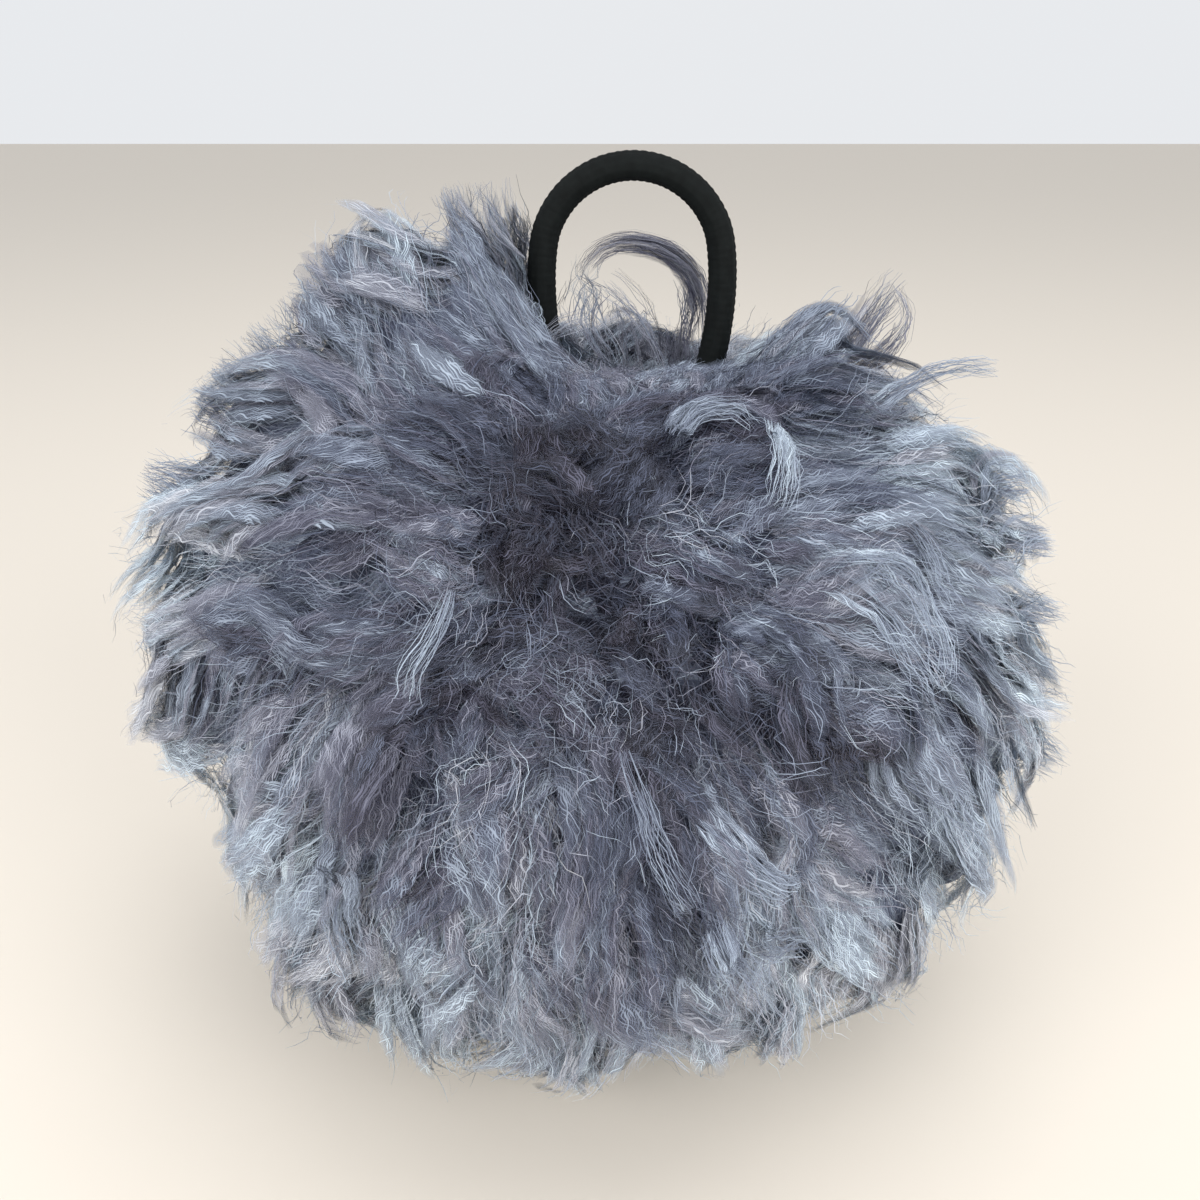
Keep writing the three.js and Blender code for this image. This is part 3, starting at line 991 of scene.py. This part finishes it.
def clear_of_cord(points):
    """points, with any that would lie in the loop's cord moved out to its surface."""
    flat = points.reshape(-1, 3)
    near = np.flatnonzero(np.abs(flat[:, 1] - ARCH_MIDDLE[1]) < CORD_DIAMETER)
    away = flat[near, None] - CORD_LINE[None, ::4]
    far = np.linalg.norm(away, axis=2)
    closest = far.argmin(axis=1)
    away, far = away[np.arange(len(near)), closest], far.min(axis=1)
    push = np.clip(CORD_DIAMETER * 0.6 - far, 0, None) / np.maximum(far, 1e-6)
    flat[near] += away * push[:, None]
    return flat.reshape(points.shape)


def laid(at, lift):
    """Points over the dense wool at these directions. A strand that has sprung clear sinks back slowly."""
    far = body_reach(at)
    for i in range(1, far.shape[1]):
        far[:, i] = np.maximum(far[:, i], far[:, i - 1] - 0.9 * MM)
    lift = lift * (1 - 0.75 * at_the_loop(HEART + at * far[..., None]))
    points = clear_of_cord(HEART + at * (far + lift)[..., None])
    points[..., 2] = np.maximum(points[..., 2], FLOOR_GAP)
    return points


def lock_strands():
    many = np.repeat(np.arange(COUNT), STRANDS)[:, None]
    t = np.linspace(0, 1, STEPS)[None, :]
    lock = picked(many)
    start, end = -1.05 * lock["length"], rng.uniform(-5.0, 5.5, many.shape) * MM
    along = start + (end - start) * t
    share = rng.uniform(-1, 1, many.shape)
    across = share * lock["half"] * narrowing(1 + along / lock["length"]) + wander(lock, along)
    swing = rng.normal(0, 0.9, many.shape) * MM
    across = across + swing * np.sin(3 * t + rng.uniform(0, ANY_TURN, many.shape))
    at = unit(lock["tip"] + (lock["way"] * along[..., None] + lock["side"] * across[..., None]) / SIZE)
    loose = lock["room"] * rng.uniform(0.1, 1.1, many.shape)
    lift = -0.2 * MM + 1.0 * MM * t + loose * t**1.3
    points = laid(at, lift)
    side, over = strand_axes(points)
    puff = unit(over + 1.1 * at + 0.5 * share[..., None] * lock["side"])
    tip = lock["tip"][:, 0]
    facing = np.clip(tip @ PARTING, 0, 1)
    # A strand also takes the pile's painted shade and light at its own middle.
    own = 0.8 * (lightness(at[:, STEPS // 2]) - lightness(tip))
    tone = lock["tone"][:, 0] + own + rng.normal(0, 1, len(many)) * (0.04 + 0.05 * facing**4)
    return points, puff, tone, lock["tint"][:, 0]


# %% Strands and fibres grown
def quarters(points):
    """Which side of the ball each guide's tip is on."""
    turn = np.degrees(np.arctan2(points[:, -1, 1], points[:, -1, 0]))
    return np.floor((turn + 405) % 360 / 90).astype(int)


def by_side(kind, points, puff, tone, tint, **sizes):
    """Four pieces of pile, so that none of them is too big."""
    side = quarters(points)
    made = []
    for i, name in enumerate(["right", "back", "left", "front"]):
        guides = guide_mesh("guides", points[side == i], puff[side == i], tone[side == i], tint[side == i])
        made.append(grown(f"{kind}_{name}", guides, **{**sizes, "seed": sizes["seed"] + i}))
    return made


strands = lock_strands()
pieces = by_side(
    "strands", *strands, fibres=3, steps=8, spread_at_root=1.5 * MM, spread_at_tip=1.8 * MM,
    crimp_depth=0.3 * MM, crimp_size=2.4 * MM, tone_spread=0.03, softness=0.9, width=2.4 * MM,
    roll=0.6, material=WOOL_STRANDS, seed=0,
)
pieces += by_side(
    "fibres", *strands, fibres=3, steps=11, spread_at_root=1.6 * MM, spread_at_tip=2.0 * MM,
    crimp_depth=0.42 * MM, crimp_size=1.5 * MM, tone_spread=0.07, softness=0.9, width=0.11 * MM,
    roll=0.9, material=WOOL, seed=60,
)

# %% [markdown]
# ## Frizz
# Crimped wool never lies flat. Loose fibres stand out of it everywhere, in all directions near the
# parting, and they blur the ball's outline. They are what makes it look soft.

# %% Frizz
FRIZZ = 3100
FRIZZ_AT_PARTING = 550


def frizz_strands():
    at = even_directions(FRIZZ, 0.9, rng)
    more = unit(PARTING + rng.normal(0, 0.42, (FRIZZ_AT_PARTING, 3)))
    at = np.concatenate([at, more])
    facing = np.clip(np.sum(at * PARTING, axis=1), 0, 1)
    way = turned(lie(at), at, rng.normal(0, 0.45 + 1.2 * facing**16))
    side = np.cross(at, way)
    t = np.linspace(0, 1, STEPS)[None, :]
    long = rng.uniform(7, 13, len(at)) * MM
    room = np.clip(reach(at) - body_reach(at), 1.0 * MM, None) * rng.uniform(0.5, 1.3, len(at))
    room = room + (0.8 + 2.2 * (1 - facing**2)) * MM
    rise = np.minimum(long * np.sin(rng.uniform(0.3, 1.2, len(at))), room)[:, None]
    run = np.sqrt(long[:, None] ** 2 - rise**2)
    curl = (rng.uniform(0.2, 1.1, len(at)) * MM)[:, None]
    turns = rng.uniform(0.8, 2.4, len(at))[:, None] * 2 * math.pi * t
    turns = turns + rng.uniform(0, ANY_TURN, len(at))[:, None]
    ways = unit(
        at[:, None]
        + way[:, None] * (run * (t - 0.5) / SIZE)[..., None]
        + side[:, None] * (curl * np.sin(turns) / SIZE)[..., None]
    )
    points = laid(ways, rise * t**1.2 + curl * np.cos(turns) * 0.4 * t)
    puff = np.repeat(unit(at + 0.35 * rng.normal(0, 1, at.shape))[:, None], STEPS, axis=1)
    # Frizz takes the pile's painted shade and light at its place, and is lighter than the pile, most of all
    # round the parting.
    tone = lightness(at) + 0.06 + 0.16 * facing**4 + rng.normal(0, 1, len(at)) * (0.06 + 0.07 * facing**4)
    return points, puff, tone, rng.uniform(0, 0.7, len(at))


pieces += by_side(
    "frizz", *frizz_strands(), fibres=5, steps=10, share_of_guide=0.9, spread_at_root=2.6 * MM,
    spread_at_tip=3.0 * MM, width=0.08 * MM, crimp_depth=0.55 * MM, crimp_size=1.4 * MM, tone_spread=0.16,
    softness=0.8, material=WOOL, seed=30,
)

# %% [markdown]
# ## Wisps
# A few locks have a shape of their own and are listed one by one: high tufts beside the loop, one that rises
# through it and curls over, curls on the right and silver streaks. Each is a middle line, like the cord's.

# %% Wisps, listed one by one
# The middle line's points and the half width, both in mm, how many guides, how light, the share of mauve,
# and how many flat strands each guide gets.
WISPS = [
    ([(15, 9, 90), (15, 9, 99), (13, 9, 104), (7.5, 9, 107), (2, 9, 106.5), (-1, 9, 103)], 2.1, 9, 0.5, 1, 2),
    ([(12, 10, 84), (14, 9, 95), (14, 9, 102), (9, 10, 106)], 3.4, 4, 0.60, 1.0, 0),
    ([(2, 8, 80), (1, 9, 91), (-2, 10, 100), (-1, 10, 105)], 5.0, 6, 0.66, 0.6, 0),
    ([(7, 9, 80), (8, 10, 90), (6, 10, 98), (1, 10, 103)], 6.0, 6, 0.64, 0.9, 0),
    ([(12, 10, 80), (13, 11, 90), (12, 11, 96)], 4.0, 9, 0.48, 1.0, 2),
    ([(0, 14, 80), (0, 17, 90), (-1, 18, 94)], 6.5, 16, 0.50, 0.8, 2),
    ([(9, 14, 80), (9, 17, 89), (8, 18, 93)], 6.5, 16, 0.48, 0.9, 2),
    ([(3, 6, 80), (3, 7, 88), (2, 7, 92)], 6.0, 12, 0.46, 0.8, 2),
    ([(2, -5, 82), (2, -4, 90), (3, -3, 94)], 7.0, 12, 0.44, 0.9, 1),
    ([(9, -6, 82), (10, -5, 89), (11, -4, 92)], 6.0, 10, 0.44, 0.9, 1),
    # The first and third of these rows, beside the loop's left leg, are painted lighter to make up for the
    # leg's shadow on them.
    ([(-6, 6, 86), (-10, 6, 98), (-10, 6, 107), (-11.5, 6, 115)], 4.4, 15, 0.62, 0.5, 2),
    ([(-8, 6, 86), (-13, 6, 99), (-14.5, 6, 108), (-17, 6, 115)], 4.4, 15, 0.58, 0.4, 2),
    ([(-4, 8, 86), (-6.5, 8, 98), (-7.5, 8, 107), (-9.5, 8, 112)], 3.6, 13, 0.64, 0.5, 2),
    ([(-10, 6, 86), (-18, 6, 98), (-23, 6, 105), (-29, 6, 109)], 4.4, 15, 0.58, 0.4, 2),
    ([(-16, 4, 84), (-26, 4, 93), (-33, 4, 99), (-38, 4, 101)], 3.5, 12, 0.54, 0.3, 1),
    ([(20, 8, 84), (26, 8, 90), (30, 8, 94), (34, 8, 97)], 4.0, 9, 0.50, 0.9, 0),
    ([(26, 8, 80), (33, 8, 90), (37, 8, 97), (41, 8, 103)], 2.2, 8, 0.56, 0.9, 1),
    ([(28, 6, 80), (37, 6, 91), (41.5, 6, 98), (39.5, 6, 102)], 1.4, 5, 0.48, 0.9, 1),
    ([(29, -10, 85), (38, -10, 92), (43.5, -10, 94.5), (49, -10, 94.5)], 0.6, 4, 0.66, 0.0, 1),
    ([(-9, 1, 86), (-7, 1, 92), (-4, 1, 97), (1, 2, 99)], 1.8, 5, 0.66, 0.9, 0),
    ([(-36, -6, 82), (-42, -7, 87), (-48, -8, 91)], 5.0, 14, 0.58, 0.2, 1),
    ([(-34, -4, 84), (-40, -5, 89), (-46, -6, 94)], 5.0, 14, 0.58, 0.3, 1),
    ([(-30, -2, 86), (-36, -2, 92), (-42, -3, 98)], 5.0, 14, 0.58, 0.2, 1),
    ([(-26, 2, 88), (-32, 2, 95), (-37, 2, 102)], 5.0, 14, 0.58, 0.4, 1),
    ([(-20, 5, 88), (-25, 5, 99), (-29, 5, 107)], 4.5, 12, 0.60, 0.3, 1),
    ([(-40, -12, 76), (-47, -12, 80), (-54, -13, 83)], 5.0, 12, 0.58, 0.2, 1),
    ([(44, -9, 78), (49, -9, 81), (55, -10, 81)], 5.0, 12, 0.62, 0.1, 1),
    ([(46, -12, 72), (52, -12, 75), (58, -12, 74)], 5.0, 12, 0.62, 0.2, 1),
    ([(46, -14, 64), (53, -14, 66), (60, -14, 64)], 5.0, 12, 0.62, 0.1, 1),
    ([(47, -15, 55), (54, -15, 57), (61, -15, 54)], 5.0, 12, 0.62, 0.2, 1),
    ([(48, -15, 45), (55, -15, 47), (62, -15, 43)], 5.0, 12, 0.62, 0.1, 1),
]
# These lie on the pile: only the directions of their points count.
# Their light tones are partly painted highlight: the silver sheen of locks that lie on the pile.
LAID_WISPS = [
    ([(9, -33, 92), (11, -30, 95), (14, -27, 97), (18, -26, 96), (20, -27, 94)], 1.3, 5, 0.58, 0.0, 2),
    ([(22.5, -24, 96), (22, -28, 93), (21, -32, 90), (20.5, -36, 86)], 0.1, 3, 0.80, 0.0, 2),
    ([(24, -39, 81), (30, -37, 79), (34, -37, 74), (36, -38, 67)], 1.3, 3, 0.70, 0.0, 1),
    ([(25, -40, 79), (29, -40, 76), (33, -40, 71), (36, -39, 66)], 1.2, 3, 0.68, 0.0, 1),
    ([(33, -30, 84), (36, -28, 81), (39, -29, 77), (39, -32, 72)], 1.0, 3, 0.66, 0.0, 1),
    ([(-14, -45, 81), (-15, -47, 76), (-18, -48, 71), (-20, -48, 66)], 0.2, 2, 0.62, 0.0, 0),
    ([(4, -53, 66), (6, -54, 60), (8, -55, 54), (11, -55, 49)], 0.2, 2, 0.60, 0.0, 0),
    ([(12, -53, 59), (17, -52, 53), (23, -50, 48)], 1.6, 5, 0.62, 0.0, 1),
    ([(17, -52, 46), (21, -50, 41), (26, -47, 38)], 1.6, 5, 0.64, 0.0, 1),
    ([(12, -53, 51), (14, -53, 45), (18, -50, 37)], 1.6, 5, 0.60, 0.0, 1),
    ([(-24, -49, 52), (-26, -48, 44), (-25, -47, 37)], 2.4, 6, 0.60, 0.0, 1),
]

# %% Fibres on the wisps
WISP_FACING = np.array([0.0, -0.5, 0.8])  # the way that a wisp is shaded, mostly


def wisp_strands(rows, laid_on=False):
    made = []
    for middle, half, count, tone, tint, _ in rows:
        line, _ = smooth_route(np.array(middle) * MM, STEPS - 1)
        side, over = strand_axes(line[None])
        t = np.linspace(0, 1, STEPS)[None, :, None]
        swing = rng.uniform(0, ANY_TURN, count)[:, None, None]
        far = rng.uniform(0, 1, count)[:, None, None] ** 0.6
        wide = half * MM * far * (1.1 - 0.5 * t)
        points = line + wide * (np.cos(swing + t) * side + 0.7 * np.sin(swing + t) * over)
        at, out = unit(points - HEART), np.linalg.norm(points - HEART, axis=-1)
        wool = body_reach(at)
        top = wool + 0.85 * np.maximum(reach(at) - wool, 0) + 1.2 * MM
        out = top if laid_on else np.maximum(out, wool + 1.6 * MM * t[..., 0] + 0.3 * MM)
        puff = np.repeat(unit(0.4 * over + WISP_FACING), count, axis=0)
        tones = tone + rng.normal(0, 0.05, count)
        made.append((clear_of_cord(HEART + at * out[..., None]), puff, tones, np.full(count, tint)))
    return [np.concatenate(part) for part in zip(*made)]


def wisps(many_flat=None):
    """The guides of all wisps, or of those with that many flat strands to each guide."""
    chosen = [[row for row in rows if many_flat in (None, row[5])] for rows in (WISPS, LAID_WISPS)]
    parts = wisp_strands(chosen[0]), wisp_strands(chosen[1], laid_on=True)
    return guide_mesh("guides", *[np.concatenate(pair) for pair in zip(*parts)])


for many in (1, 2):
    pieces.append(grown(
        f"wisp_strands_{many}", wisps(many), fibres=many, steps=9, share_of_guide=0.65,
        spread_at_root=0.7 * MM, spread_at_tip=1.2 * MM, crimp_depth=0.5 * MM, crimp_size=3.4 * MM,
        tone_spread=0.05, softness=0.9, width=1.2 * MM, roll=0.9, material=WOOL_STRANDS, seed=90,
    ))
pieces.append(grown(
    "wisp_fibres", wisps(), fibres=10, steps=10, share_of_guide=0.75, spread_at_root=0.8 * MM,
    spread_at_tip=2.2 * MM, crimp_depth=0.5 * MM, crimp_size=1.5 * MM, tone_spread=0.1,
    softness=0.9, width=0.09 * MM, roll=0.9, material=WOOL, seed=95,
))

# %% [markdown]
# ## Floor and light
# Pale floor and a bright room fill the wool with soft light from all sides, and three large lamps give it
# a little shape. Harder or fewer lamps would make each lock stand out too much.

# %% Floor and light
LAMPS = [  # name, place in metres, width in metres, watts
    ("front_left", (-0.5, -0.62, 0.42), 0.5, 5),
    ("front_right", (0.52, -0.6, 0.34), 0.5, 5),
    ("overhead", (0.1, -0.1, 0.95), 0.6, 2.5),
]


def add_floor():
    bpy.ops.mesh.primitive_plane_add(size=6, location=(0, 0, 0))
    floor = bpy.context.object
    floor.name = "floor"
    material, g = new_material("floor")
    finish_material(g, {"Base Color": (0.70, 0.64, 0.56, 1), "Roughness": 0.7})
    floor.data.materials.append(material)


def add_lamp(name, place, width, power):
    data = bpy.data.lights.new(name, "AREA")
    data.size, data.energy = width, power
    lamp = add_object(name, data)
    lamp.location = place
    lamp.rotation_euler = (Vector(HEART) - Vector(place)).to_track_quat("-Z", "Y").to_euler()


def add_world(strength):
    world = bpy.data.worlds.new("room")
    world.use_nodes = True
    world.node_tree.nodes["Background"].inputs["Color"].default_value = (0.95, 0.97, 1, 1)
    world.node_tree.nodes["Background"].inputs["Strength"].default_value = strength
    bpy.context.scene.world = world


bpy.context.scene.view_settings.view_transform = "Standard"
add_floor()
add_world(0.85)
for lamp in LAMPS:
    add_lamp(*lamp)
print("lamps:", len(LAMPS))

# %% [markdown]
# ## The pieces on one body
# All the wool and the loop hang from one body. The dense wool stands for the solid ball, which is hidden, and
# the loose wool only adds to it. It is padded, because a squeeze would press it flat.

# %% The pieces on one body
for piece in [wool_underneath, *pieces]:
    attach(piece, BODY)
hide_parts("fur_ball")
